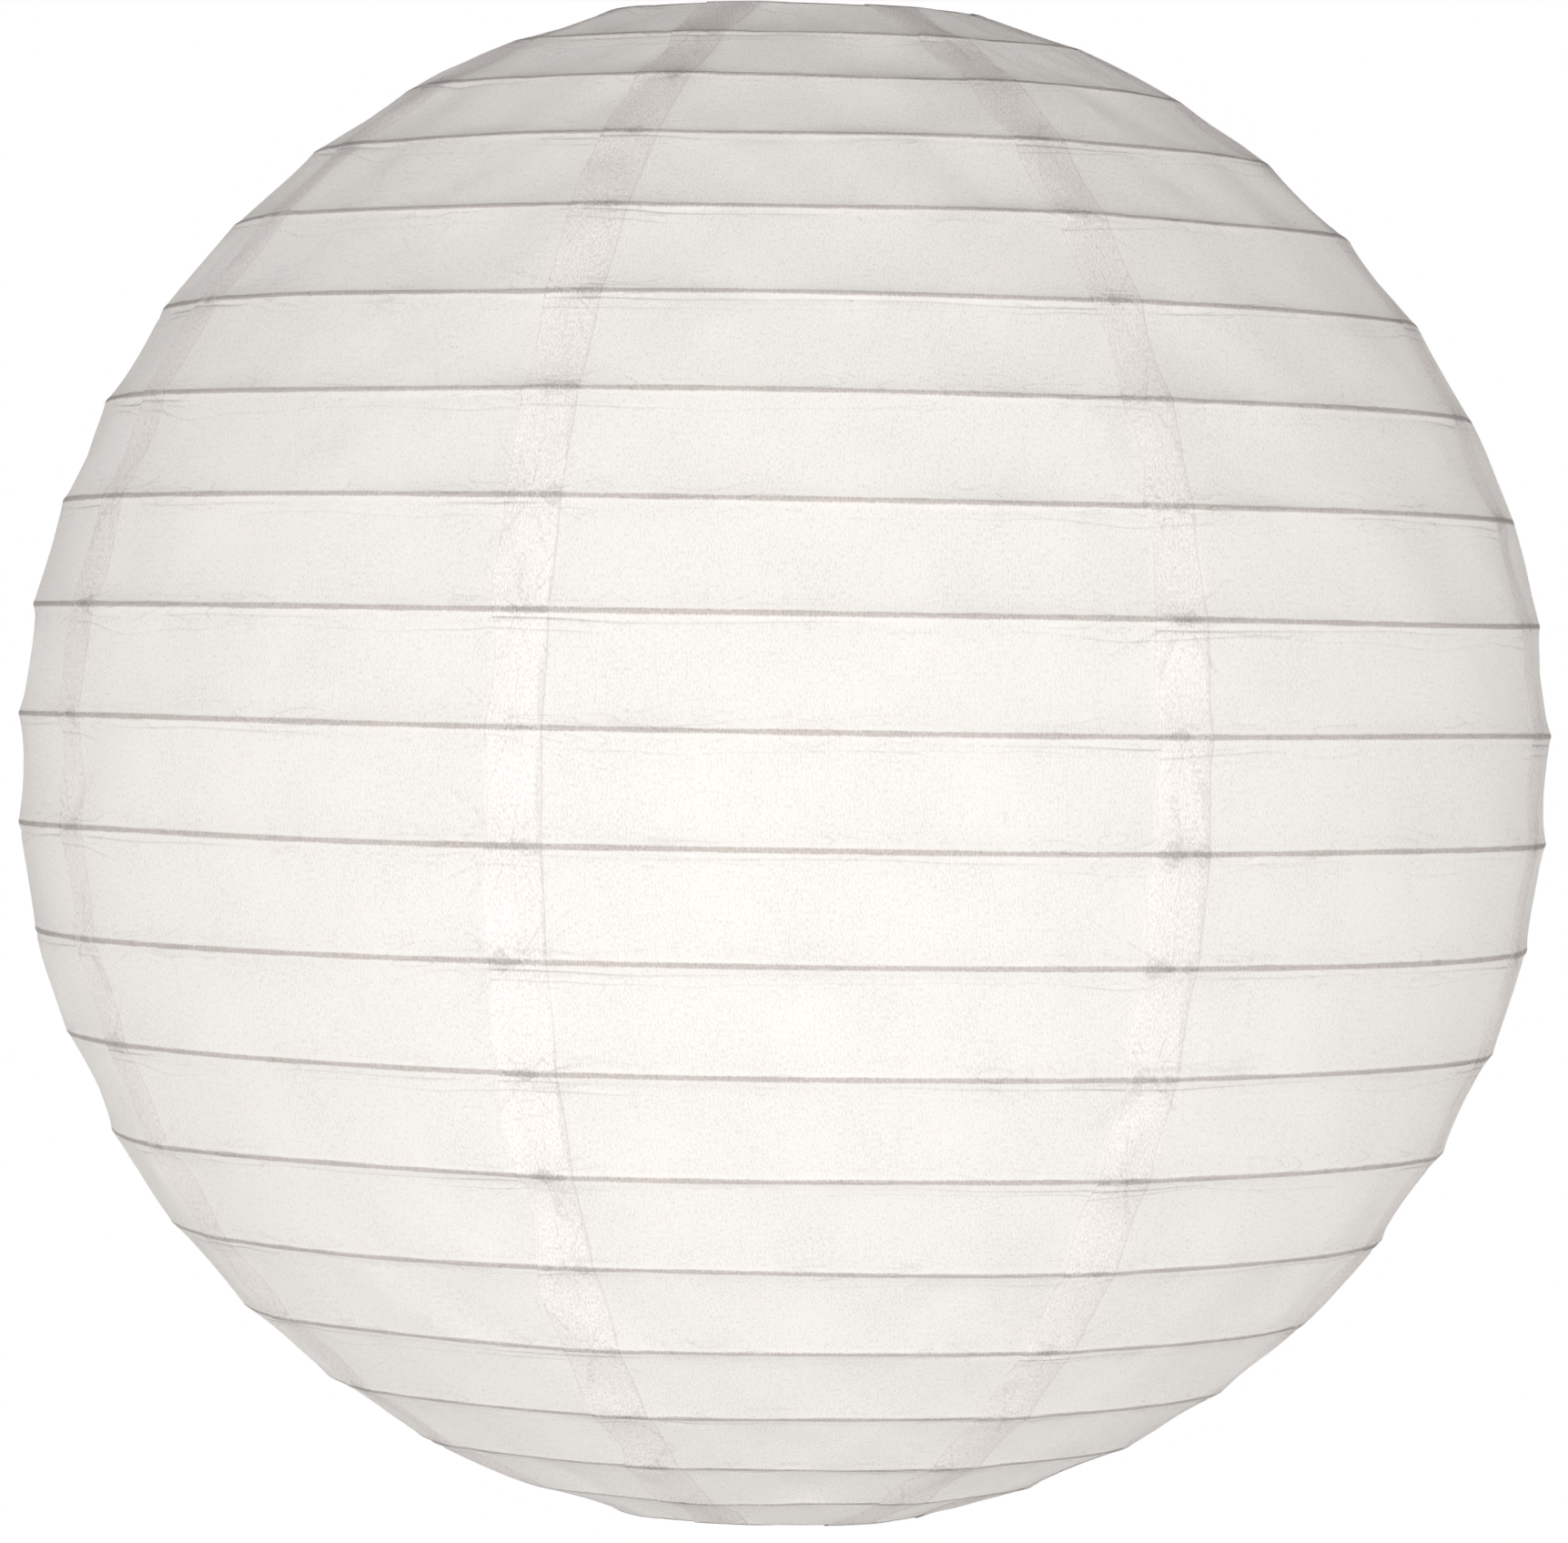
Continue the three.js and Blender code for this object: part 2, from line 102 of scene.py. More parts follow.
def make_camera():
    """A long lens in front, a little above the middle of the ball and looking slightly down."""
    camera = bpy.data.cameras.new("camera")
    camera.lens = CAMERA_LENS
    camera.sensor_width = CAMERA_SENSOR
    camera.clip_end = CAMERA_REACH
    obj = bpy.data.objects.new("camera", camera)
    bpy.context.scene.collection.objects.link(obj)
    place = Matrix.Translation((0, -CAMERA_DISTANCE, CENTRE_Z + CAMERA_ABOVE))
    look = Matrix.Rotation(math.pi / 2 - CAMERA_DIP, 4, "X")
    obj.matrix_world = place @ look @ Matrix.Rotation(CAMERA_ROLL, 4, "Z")
    bpy.context.scene.camera = obj


make_camera()


# ---------------------------------------------------------------- small helpers
def link(obj):
    bpy.context.scene.collection.objects.link(obj)
    return obj


def mesh_object(name, points, faces, smooth=True):
    mesh = bpy.data.meshes.new(name)
    mesh.from_pydata([tuple(p) for p in points], [], faces)
    mesh.validate()
    mesh.polygons.foreach_set("use_smooth", [smooth] * len(mesh.polygons))
    mesh.update()
    return link(bpy.data.objects.new(name, mesh))


def wander(seed, harmonics, strength=1.0):
    """A smooth random function of azimuth that closes on itself, with an r.m.s. of about strength."""
    random = np.random.RandomState(seed)
    weights = random.normal(size=len(harmonics))
    phases = random.uniform(0, 2 * math.pi, len(harmonics))
    scale = strength / math.sqrt(len(harmonics) / 2)
    return lambda a: scale * sum(w * np.cos(n * a + p) for n, w, p in zip(harmonics, weights, phases))


def wanders(first_seed, harmonics, strength):
    """One random function of azimuth for each ring."""
    return [wander(first_seed + i, harmonics, strength) for i in range(len(RINGS))]


RING_RISE = wanders(100, range(2, 9), 0.16 * MM)
RING_SWELL = wanders(200, range(2, 9), 0.22 * MM)
RIM_STILLNESS = 0.4


def ring_at(index, azimuth):
    """Radius and height of a ring's centre-line at an azimuth, with its slight waves."""
    radius, z = RINGS[index]
    still = RIM_STILLNESS if index in (0, len(RINGS) - 1) else 1.0
    return radius + still * RING_SWELL[index](azimuth), z + still * RING_RISE[index](azimuth)


# ---------------------------------------------------------------- the paper
# Where the paper's rows lie from one ring to the next, closer where the paper bends most.
SAG_STEPS = [0, 0.025, 0.05, 0.075, 0.1, 0.13, 0.17, 0.23, 0.31,
             0.4, 0.5, 0.6, 0.69, 0.77, 0.84, 0.9, 0.94, 0.97]
SAG_DEPTH = 0.85 * MM
SAG_ROUNDNESS = 2.2
MOST_BULGE = 0.5 * MM
SAG = wanders(300, range(2, 26), 0.55 * MM)
SAG_TILT = wanders(400, range(2, 14), 0.22)
DIMPLE = wanders(500, range(8, 60), 0.16 * MM)
FOLD_STRENGTH = wanders(600, range(1, 14), 1.0)
FOLD_STRAY = wanders(650, range(1, 7), 0.022)
FOLD_DEPTH = 0.32 * MM
FOLD_SHARE = 0.085
FOLD_WIDTH = 0.028
FOLD_STARTS = 0.05
WRAP_ANGLES = [215, 190, 165, 140, 118, 98]


def ring_normal(index):
    radius, z = RINGS[index]
    return radius / BALL_OF_RINGS, (z - CENTRE_Z) / BALL_OF_RINGS


def rows_of_paper():
    """Each row of a gore, from rim to rim: ("wrap", ring, angle) or ("band", ring, share)."""
    top = [("wrap", 0, angle) for angle in WRAP_ANGLES]
    bands = [("band", i, s) for i in range(len(RINGS) - 1) for s in SAG_STEPS]
    last = len(RINGS) - 1
    bottom = [("wrap", last, -angle) for angle in reversed(WRAP_ANGLES)]
    return top + bands + [("band", last - 1, 1.0)] + bottom


def paper_point(kind, index, value, azimuth, lift):
    """Radius and height of the paper on a row, lifted off the sheet below it."""
    if kind == "wrap":
        radius, z = ring_at(index, azimuth)
        reach = RIM_WIRE_RADIUS + PAPER_GAP + lift
        angle = math.radians(value)
        return radius + reach * math.cos(angle), z + reach * math.sin(angle)
    ends = []
    for i in (index, index + 1):
        radius, z = ring_at(i, azimuth)
        out, up = ring_normal(i)
        reach = RING_WIRES[i] + PAPER_GAP
        ends.append((radius + reach * out, z + reach * up))
    (r0, z0), (r1, z1) = ends
    share = np.clip(value + SAG_TILT[index](azimuth) * value * (1 - value), 0, 1)
    hollow = 1 - np.abs(2 * share - 1) ** SAG_ROUNDNESS
    depth = np.maximum(SAG_DEPTH + SAG[index](azimuth), -MOST_BULGE)
    dimple = DIMPLE[index](azimuth) * np.sin(2 * math.pi * share)
    off_fold = (value - FOLD_SHARE - FOLD_STRAY[index](azimuth)) / FOLD_WIDTH
    fold_line = np.exp(-off_fold ** 2) * np.clip(FOLD_STRENGTH[index](azimuth), 0, 1)
    fold_line = fold_line * min(value / FOLD_STARTS, 1)
    inward = (depth + dimple) * hollow + FOLD_DEPTH * fold_line - lift
    length = np.hypot(r1 - r0, z1 - z0)
    out, up = -(z1 - z0) / length, (r1 - r0) / length
    return r0 + (r1 - r0) * value - inward * out, z0 + (z1 - z0) * value - inward * up


LAP_COLUMNS = 7
BODY_COLUMNS = 60
LAP_LIFT = 0.28 * MM
LAP_EASE = 7 * MM
LAP_EASE_ROUNDNESS = 0.6
LAP_CLEARANCE = 0.5 * MM
EDGE_BOW = 1.9 * MM
EDGE_KINK = 0.8 * MM
HIDDEN_LAP = 0.5


def lap_edge(gore, end, row, radius):
    """How far a sheet's cut edge strays from its line, as an azimuth: it bows between the ribs."""
    kind, index, value = row
    if kind == "wrap":
        return 0.0
    random = np.random.RandomState(700 + 50 * gore + 25 * end + index)
    bow = random.uniform(-EDGE_BOW, EDGE_BOW)
    kink = random.uniform(-EDGE_KINK, EDGE_KINK)
    return (bow * math.sin(math.pi * value) + kink * math.sin(2 * math.pi * value)) / radius


def make_gore(number):
    """One sheet from rim to rim. Its first edge lies over the end of the sheet before it.

    Its lap value runs from 0 at that edge to 1 where the lap ends and on from there over the sheet's
    body, and is HIDDEN_LAP where the next sheet covers it.
    """
    rows = rows_of_paper()
    seam, next_seam = SEAMS[number - 1:number + 1]
    lap_columns = np.linspace(0, 1, LAP_COLUMNS)
    body_columns = np.linspace(1, 2, BODY_COLUMNS)
    across = np.concatenate([lap_columns, body_columns[1:], 2 + lap_columns[1:]])
    points, uvs, laps, gaps = [], [], [], []
    for row in rows:
        kind, index, value = row
        ring = index + (value if kind == "band" else 0)
        radius = RINGS[index][0]
        if kind == "band":
            radius = radius * (1 - value) + RINGS[index + 1][0] * value
        half = LAP_WIDTH / 2 / radius
        start = seam - half + lap_edge(number, 0, row, radius)
        finish = next_seam + half + lap_edge(number, 1, row, radius)
        under = seam + half + LAP_CLEARANCE / radius
        over = next_seam - half
        azimuth = np.interp(across, [0, 1, 2, 3], [start, under, over, finish])
        lift = LAP_LIFT * np.clip(1 - (azimuth - under) * radius / LAP_EASE, 0, 1) ** LAP_EASE_ROUNDNESS
        r, z = paper_point(kind, index, value, azimuth, lift)
        points.append(np.stack([r * np.sin(azimuth), -r * np.cos(azimuth), z], axis=1))
        uvs.append(np.stack([(azimuth - seam) * radius, np.full(len(azimuth), float(ring))], axis=1))
        gaps.append(np.where(across < 1.5, azimuth - seam, azimuth - next_seam) * radius)
        beyond = (azimuth - under) * radius / LAP_WIDTH
        laps.append(np.where(across < 1, across, np.where(across > 2, HIDDEN_LAP, 1 + beyond)))
    columns = len(across)
    faces = [(i * columns + j, (i + 1) * columns + j, (i + 1) * columns + j + 1, i * columns + j + 1)
             for i in range(len(rows) - 1) for j in range(columns - 1)]
    gore = mesh_object(f"paper_gore_{number}", np.concatenate(points), faces)
    layer = gore.data.uv_layers.new(name="paper")
    corner = np.array([loop.vertex_index for loop in gore.data.loops])
    layer.data.foreach_set("uv", np.concatenate(uvs)[corner].ravel())
    for name, values in (("lap", laps), ("from_seam", gaps)):
        layer = gore.data.attributes.new(name, "FLOAT", "POINT")
        layer.data.foreach_set("value", np.concatenate(values).astype(np.float32))
    return gore


# ---------------------------------------------------------------- wires
def with_length_one(vectors):
    return vectors / np.linalg.norm(vectors, axis=1)[:, None]


def swept(name, route, radius, sides):
    """Round wire along a route of points, with flat ends."""
    points = np.array(route, float)
    count = len(points)
    ahead = np.roll(points, -1, axis=0) - points
    behind = points - np.roll(points, 1, axis=0)
    ahead[-1] = behind[-1]
    behind[0] = ahead[0]
    tangents = with_length_one(with_length_one(ahead) + with_length_one(behind))
    side = np.cross(tangents[0], (0.31, 0.17, 0.93))
    vertices = []
    for point, tangent in zip(points, tangents):
        side = side - tangent * np.dot(side, tangent)
        side /= np.linalg.norm(side)
        other = np.cross(tangent, side)
        for k in range(sides):
            angle = 2 * math.pi * k / sides
            vertices.append(point + radius * (math.cos(angle) * side + math.sin(angle) * other))
    faces = []
    for i in range(count - 1):
        j = i + 1
        for k in range(sides):
            n = (k + 1) % sides
            faces.append((i * sides + k, i * sides + n, j * sides + n, j * sides + k))
    faces.append(tuple(reversed(range(sides))))
    faces.append(tuple(range((count - 1) * sides, count * sides)))
    return mesh_object(name, vertices, faces)


def closed_ring(name, index, sides, segments):
    """A ring of the shade as round wire, with its slight waves."""
    azimuths = np.arange(segments) * 2 * math.pi / segments
    radius, z = ring_at(index, azimuths)
    route = np.stack([radius * np.sin(azimuths), -radius * np.cos(azimuths), z], axis=1)
    sections = np.arange(sides) * 2 * math.pi / sides
    vertices = []
    for point, azimuth in zip(route, azimuths):
        outward = np.array([math.sin(azimuth), -math.cos(azimuth), 0])
        for s in sections:
            offset = math.cos(s) * outward + math.sin(s) * np.array([0, 0, 1])
            vertices.append(point + RING_WIRES[index] * offset)
    faces = []
    for i in range(segments):
        j = (i + 1) % segments
        for k in range(sides):
            n = (k + 1) % sides
            faces.append((i * sides + k, j * sides + k, j * sides + n, i * sides + n))
    return mesh_object(name, vertices, faces)


def rounded(route, reach, steps):
    """A route with each inner corner cut back and rounded by a short curve."""
    points = [np.array(p, float) for p in route]
    made = [points[0]]
    for before, corner, after in zip(points, points[1:], points[2:]):
        back, on = before - corner, after - corner
        start = corner + back * min(reach / np.linalg.norm(back), 0.45)
        end = corner + on * min(reach / np.linalg.norm(on), 0.45)
        for t in np.linspace(0, 1, steps + 1):
            made.append((1 - t) ** 2 * start + 2 * t * (1 - t) * corner + t ** 2 * end)
    made.append(points[-1])
    return made


# ---------------------------------------------------------------- the expander and the hook
EYE_RADIUS = 9 * MM
EYE_PITCH = 2.4 * MM
EYE_CENTRE_Z = 1 * MM - EYE_RADIUS
LEG_X = 37.6 * MM
EXPANDER_WIRE_RADIUS = 1.0 * MM
HOOK_WIRE_RADIUS = 0.9 * MM
HOOK_RADIUS = 5.4 * MM


def expander_route():
    """One wire: across the bottom mouth, up inside both rims, and round the hanging eye."""
    top_radius, top = RINGS[0]
    bottom = RINGS[-1][1]
    side = [
        (0.4 * MM, 0, bottom + 1 * MM),
        (12 * MM, 0, bottom + 1 * MM),
        (30 * MM, 0, bottom - 1.6 * MM),
        (38.6 * MM, 0, bottom - 2.4 * MM),
        (LEG_X - 0.4 * MM, 0, bottom + 0.2 * MM),
        (39 * MM, 0, bottom + 3.4 * MM),
        (LEG_X, 0, bottom + 10 * MM),
        (LEG_X, 0, top - 22 * MM),
        (top_radius - 6 * MM, 0, top - 9 * MM),
        (top_radius + 0.7 * MM, 0, top - 4.4 * MM),
        (top_radius - 3 * MM, 0, top - 0.4 * MM),
        (top_radius - 1.9 * MM, 0, top + 2.4 * MM),
        (30 * MM, 0, top - 4 * MM),
        (15 * MM, EYE_PITCH / 2, 1.5 * MM - 2 * EYE_RADIUS),
        (4 * MM, EYE_PITCH / 2, 1 * MM - 2 * EYE_RADIUS),
    ]
    right = rounded(side, 2.2 * MM, 6)
    left = [p * (-1, -1, 1) for p in right]
    eye = []
    for turn in np.linspace(0, 1, 49):
        angle = 2 * math.pi * turn - math.pi / 2
        z = EYE_CENTRE_Z + EYE_RADIUS * math.sin(angle)
        eye.append(np.array([EYE_RADIUS * math.cos(angle), EYE_PITCH * (turn - 0.5), z]))
    return left + eye + right[::-1]


def hook_route():
    centre = EYE_CENTRE_Z - EYE_RADIUS - 2.5 * MM
    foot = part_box("lamp_hook")[0].z
    start = (0, -HOOK_RADIUS - 1 * MM, centre - 5 * MM)
    bend = []
    for angle in np.linspace(0, math.pi, 25):
        bend.append((0, -HOOK_RADIUS * math.cos(angle), centre + HOOK_RADIUS * math.sin(angle)))
    shank = [(0, HOOK_RADIUS, centre - 4 * MM), (0, HOOK_RADIUS - 0.6 * MM, centre - 7 * MM),
             (0, 0.6 * MM, centre - 15 * MM), (0, 0, centre - 18 * MM), (0, 0, foot)]
    tail = rounded([bend[-1]] + shank, 2 * MM, 5)
    return [start] + bend + tail[1:]


# ---------------------------------------------------------------- turned pieces
def turned(name, profile, segments=96):
    """A piece turned about the Z axis from (radius, height) pairs, closed where it meets the axis."""
    vertices, rows, faces = [], [], []
    for radius, z in profile:
        if radius < 1e-7:
            rows.append([len(vertices)])
            vertices.append((0, 0, z))
            continue
        rows.append(list(range(len(vertices), len(vertices) + segments)))
        for k in range(segments):
            angle = 2 * math.pi * k / segments
            vertices.append((radius * math.sin(angle), -radius * math.cos(angle), z))
    for lower, upper in zip(rows, rows[1:] + ([rows[0]] if len(rows[0]) > 1 else [])):
        for k in range(segments):
            n = (k + 1) % segments
            if len(lower) == 1:
                faces.append((lower[0], upper[n], upper[k]))
            elif len(upper) == 1:
                faces.append((lower[k], lower[n], upper[0]))
            else:
                faces.append((lower[k], lower[n], upper[n], upper[k]))
    return mesh_object(name, vertices, faces)


def softened(profile, reach):
    """A profile whose corners are rounded."""
    return [(p[0], p[1]) for p in rounded(profile, reach, 3)]


HOUSING_LOW, HOUSING_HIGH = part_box("lamp_housing")
HOUSING_RADIUS = (HOUSING_HIGH.x - HOUSING_LOW.x) / 2
HOUSING_WALL = 2 * MM
HOUSING_STEP = 0.35 * MM
SPIGOT_RADIUS = HOUSING_RADIUS - HOUSING_WALL - 0.3 * MM
BALL_WALL = 1.5 * MM
BULKHEAD_LOW = BALL_CENTRE.z + 28.6 * MM
BULKHEAD_HIGH = BALL_CENTRE.z + 31.6 * MM
SLOT_HALF_WIDTH = 2.8 * MM
SLOT_HALF_HEIGHT = 5.3 * MM
SCREW_HOLE_RADIUS = 1.4 * MM
SCREW_X = 13 * MM
CAP_FLUTES = 24
FLUTE_DEPTH = 0.45 * MM


def cut(piece, cutter):
    """Takes the cutter's volume out of a piece and removes the cutter."""
    modifier = piece.modifiers.new("cut", "BOOLEAN")
    modifier.operation = "DIFFERENCE"
    modifier.solver = "EXACT"
    modifier.object = cutter
    bpy.context.view_layer.update()
    graph = bpy.context.evaluated_depsgraph_get()
    made = bpy.data.meshes.new_from_object(piece.evaluated_get(graph))
    piece.modifiers.clear()
    old = piece.data
    piece.data = made
    bpy.data.meshes.remove(old)
    bpy.data.objects.remove(cutter)


def slab(name, low, high, reach=0.6 * MM):
    """A box from its low corner to its high one, with rounded upright edges."""
    (x0, y0, z0), (x1, y1, z1) = low, high
    outline = []
    for cx, cy, turn in ((x1 - reach, y1 - reach, 0), (x0 + reach, y1 - reach, 1),
                         (x0 + reach, y0 + reach, 2), (x1 - reach, y0 + reach, 3)):
        for t in np.linspace(0, math.pi / 2, 5):
            angle = t + turn * math.pi / 2
            outline.append((cx + reach * math.cos(angle), cy + reach * math.sin(angle)))
    n = len(outline)
    vertices = [(x, y, z) for z in (z0, z1) for x, y in outline]
    faces = [(k, (k + 1) % n, n + (k + 1) % n, n + k) for k in range(n)]
    faces += [tuple(reversed(range(n))), tuple(range(n, 2 * n))]
    return mesh_object(name, vertices, faces, smooth=False)


SHARP_ANGLE = math.radians(35)


def edge_rounding(piece, width):
    """Rounds those edges of a piece that turn by more than SHARP_ANGLE."""
    modifier = piece.modifiers.new("edges", "BEVEL")
    modifier.width = width
    modifier.segments = 3
    modifier.limit_method = "ANGLE"
    modifier.angle_limit = SHARP_ANGLE


def make_housing():
    """The battery housing: a stepped tube with a bulkhead, a slot for the switch and two screw holes."""
    outer, inner = HOUSING_RADIUS, HOUSING_RADIUS - HOUSING_WALL
    waist = outer - HOUSING_STEP
    bottom, top = HOUSING_LOW.z, HOUSING_HIGH.z
    profile = [
        (0, BULKHEAD_LOW), (inner, BULKHEAD_LOW), (inner, bottom),
        (outer, bottom), (outer, bottom + 3 * MM), (waist, bottom + 3 * MM),
        (waist, top - 4 * MM), (outer, top - 4 * MM), (outer, top),
        (inner, top), (inner, BULKHEAD_HIGH), (0, BULKHEAD_HIGH),
    ]
    housing = turned("housing_shell", softened(profile, 0.3 * MM))
    slider_low, slider_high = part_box("switch_slider")
    middle = (slider_low.z + slider_high.z) / 2 + 1 * MM
    slot_low = (-SLOT_HALF_WIDTH, -outer - 2 * MM, middle - SLOT_HALF_HEIGHT)
    slot_high = (SLOT_HALF_WIDTH, -outer + 4 * MM, middle + SLOT_HALF_HEIGHT)
    cut(housing, slab("slot_cutter", slot_low, slot_high))
    low, high = BULKHEAD_LOW - 1 * MM, BULKHEAD_LOW + 2 * MM
    for side in (-1, 1):
        outline = [(0, low), (SCREW_HOLE_RADIUS, low), (SCREW_HOLE_RADIUS, high), (0, high)]
        hole = turned("screw_hole", outline, 24)
        hole.data.transform(Matrix.Translation((SCREW_X * side, 0, 0)))
        cut(housing, hole)
    return housing


def make_cap():
    """The twist-off cap, with a fluted rim, a shallow dish and the hook's boss."""
    bottom = HOUSING_HIGH.z + 0.3 * MM
    top = bottom + 3 * MM
    outer = HOUSING_RADIUS
    skirt, bore = SPIGOT_RADIUS, SPIGOT_RADIUS - 1.5 * MM
    profile = [
        (0, bottom), (bore, bottom), (bore, bottom - 6 * MM), (skirt, bottom - 6 * MM), (skirt, bottom),
        (outer, bottom), (outer, top - 1 * MM), (outer - 1 * MM, top),
        (15 * MM, top), (14 * MM, top - 0.5 * MM), (9 * MM, top - 0.5 * MM), (7 * MM, top),
        (5.5 * MM, top + 1.5 * MM), (5 * MM, top + 9 * MM), (4 * MM, top + 10 * MM),
        (1.3 * MM, top + 10 * MM), (1.3 * MM, top + 4 * MM), (0, top + 4 * MM),
    ]
    cap = turned("cap_shell", softened(profile, 0.3 * MM), 144)
    for vertex in cap.data.vertices:
        x, y, z = vertex.co
        radius = math.hypot(x, y)
        if radius > outer - 0.8 * MM:
            groove = max(0, math.cos(CAP_FLUTES * math.atan2(x, -y))) ** 2 * FLUTE_DEPTH
            vertex.co.x = x * (1 - groove / radius)
            vertex.co.y = y * (1 - groove / radius)
    return cap


def make_ball():
    """The frosted ball, open at its neck."""
    neck = SPIGOT_RADIUS
    neck_top = BALL_HIGH.z

    def arc(radius, shoulder):
        """The half outline of a ball, from its shoulder down to its lowest point on the axis."""
        polars = np.linspace(math.asin(shoulder / radius), math.pi, 33)
        points = [(radius * math.sin(p), BALL_CENTRE.z + radius * math.cos(p)) for p in polars]
        return points[:-1] + [(0, points[-1][1])]

    outer = arc(BALL_RADIUS, neck)[::-1]
    inner = arc(BALL_RADIUS - BALL_WALL, neck - BALL_WALL)
    return turned("frosted_ball", outer + [(neck, neck_top), (neck - BALL_WALL, neck_top)] + inner)


FERRULE_RADIUS = 2.2 * MM
FERRULE_BORE_RADIUS = 1.35 * MM
FERRULE_END_STEP = 0.25 * MM
FERRULE_END_SHARE = 0.97
CRIMP_DEPTH = 0.35 * MM
CRIMPED_SHARE = 0.84


def make_ferrule():
    """A crimped sleeve over the two ends of the expander's wire."""
    low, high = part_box("expander_ferrule")
    half = (high.x - low.x) / 2
    profile = [(FERRULE_BORE_RADIUS, -half)]
    for t in np.linspace(-1, 1, 41):
        crimp = CRIMP_DEPTH * max(0, math.cos(3 * math.pi * t)) ** 3 * (abs(t) < CRIMPED_SHARE)
        end_step = FERRULE_END_STEP * (abs(t) > FERRULE_END_SHARE)
        profile.append((FERRULE_RADIUS - crimp - end_step, t * half))
    profile.append((FERRULE_BORE_RADIUS, half))
    sleeve = turned("expander_sleeve", profile, 40)
    middle = (low + high) / 2
    sleeve.data.transform(Matrix.Translation(middle) @ Matrix.Rotation(math.pi / 2, 4, "Y"))
    return sleeve


KNOB_HALF_WIDTH = 2.5 * MM
KNOB_HALF_HEIGHT = 2.9 * MM
PLATE_HALF_WIDTH = 3.8 * MM
PLATE_THICKNESS = 1.2 * MM
GROOVE_COUNT = 4
GROOVE_PITCH = 1.3 * MM
GROOVE_HALF_WIDTH = 0.3 * MM
GROOVE_DEPTH = 0.45 * MM


def make_slider():
    """The switch: a ridged knob through the slot, on a plate that runs inside the wall."""
    low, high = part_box("switch_slider")
    front, back = low.y, high.y
    knob_z = (low.z + high.z) / 2 - 1 * MM
    knob_low = (-KNOB_HALF_WIDTH, front, knob_z - KNOB_HALF_HEIGHT)
    knob_high = (KNOB_HALF_WIDTH, back - 0.8 * MM, knob_z + KNOB_HALF_HEIGHT)
    knob = slab("switch_knob_piece", knob_low, knob_high, 0.5 * MM)
    for i in range(GROOVE_COUNT):
        z = knob_z + (i - (GROOVE_COUNT - 1) / 2) * GROOVE_PITCH
        groove_low = (-4 * MM, front - 1 * MM, z - GROOVE_HALF_WIDTH)
        groove_high = (4 * MM, front + GROOVE_DEPTH, z + GROOVE_HALF_WIDTH)
        cut(knob, slab("groove", groove_low, groove_high, 0.1 * MM))
    plate_low = (-PLATE_HALF_WIDTH, back - PLATE_THICKNESS, low.z)
    plate = slab("switch_plate", plate_low, (PLATE_HALF_WIDTH, back, high.z), 0.3 * MM)
    joined = bmesh.new()
    joined.from_mesh(knob.data)
    joined.from_mesh(plate.data)
    joined.to_mesh(knob.data)
    joined.free()
    bpy.data.objects.remove(plate)
    edge_rounding(knob, 0.18 * MM)
    return knob


# ---------------------------------------------------------------- materials
class Nodes:
    """Builds one material's node tree with few words."""

    def __init__(self, name):
        self.material = bpy.data.materials.new(name)
        self.material.use_nodes = True
        self.tree = self.material.node_tree
        self.tree.nodes.clear()
        self.output = self.tree.nodes.new("ShaderNodeOutputMaterial")

    def add(self, kind, inputs=None, **settings):
        node = self.tree.nodes.new("ShaderNode" + kind)
        for key, value in settings.items():
            setattr(node, key, value)
        for key, value in (inputs or {}).items():
            self.feed(node.inputs[key], value)
        return node

    def feed(self, socket, value):
        if isinstance(value, bpy.types.NodeSocket):
            self.tree.links.new(value, socket)
        else:
            socket.default_value = value

    def math(self, operation, a, b=0.0, c=0.0):
        return self.add("Math", {0: a, 1: b, 2: c}, operation=operation).outputs[0]

    def product(self, *values):
        total = values[0]
        for value in values[1:]:
            total = self.math("MULTIPLY", total, value)
        return total

    def size_of(self, value):
        return self.math("ABSOLUTE", value)

    def vector(self, x, y):
        """A flat vector, whose third part is nothing."""
        return self.add("CombineXYZ", {0: x, 1: y}).outputs[0]

    def length(self, vector):
        return self.add("VectorMath", {0: vector}, operation="LENGTH").outputs["Value"]

    def spread(self, value, low, high, to_low=0.0, to_high=1.0):
        """A value's range low..high carried smoothly to to_low..to_high."""
        inputs = {0: value, 1: low, 2: high, 3: to_low, 4: to_high}
        return self.add("MapRange", inputs, interpolation_type="SMOOTHSTEP").outputs[0]

    def noise(self, vector, scale, detail=3.0, roughness=0.55, distortion=0.0, flat=False):
        inputs = {"Vector": vector, "Scale": scale, "Detail": detail}
        inputs |= {"Roughness": roughness, "Distortion": distortion}
        return self.add("TexNoise", inputs, noise_dimensions="2D" if flat else "3D").outputs["Fac"]

    def stretched(self, vector, scales):
        return self.add("Mapping", {"Vector": vector, "Scale": scales}).outputs[0]

    def mix(self, share, a, b):
        node = self.add("Mix", data_type="RGBA")
        for index, value in ((0, share), (6, a), (7, b)):
            self.feed(node.inputs[index], value)
        return node.outputs[2]

    def bump(self, height, strength, distance):
        inputs = {"Height": height, "Strength": strength, "Distance": distance}
        return self.add("Bump", inputs).outputs[0]

    def close(self, shader):
        self.tree.links.new(shader, self.output.inputs["Surface"])
        return self.material

    def principled(self, inputs):
        return self.close(self.add("BsdfPrincipled", inputs).outputs[0])


def object_place(nodes):
    return nodes.add("TexCoord").outputs["Object"]


def painted(wanted):
    """A linear colour from plain sRGB values."""
    made = []
    for c in wanted:
        made.append(c / 12.92 if c <= 0.04045 else ((c + 0.055) / 1.055) ** 2.4)
    return (*made, 1.0)


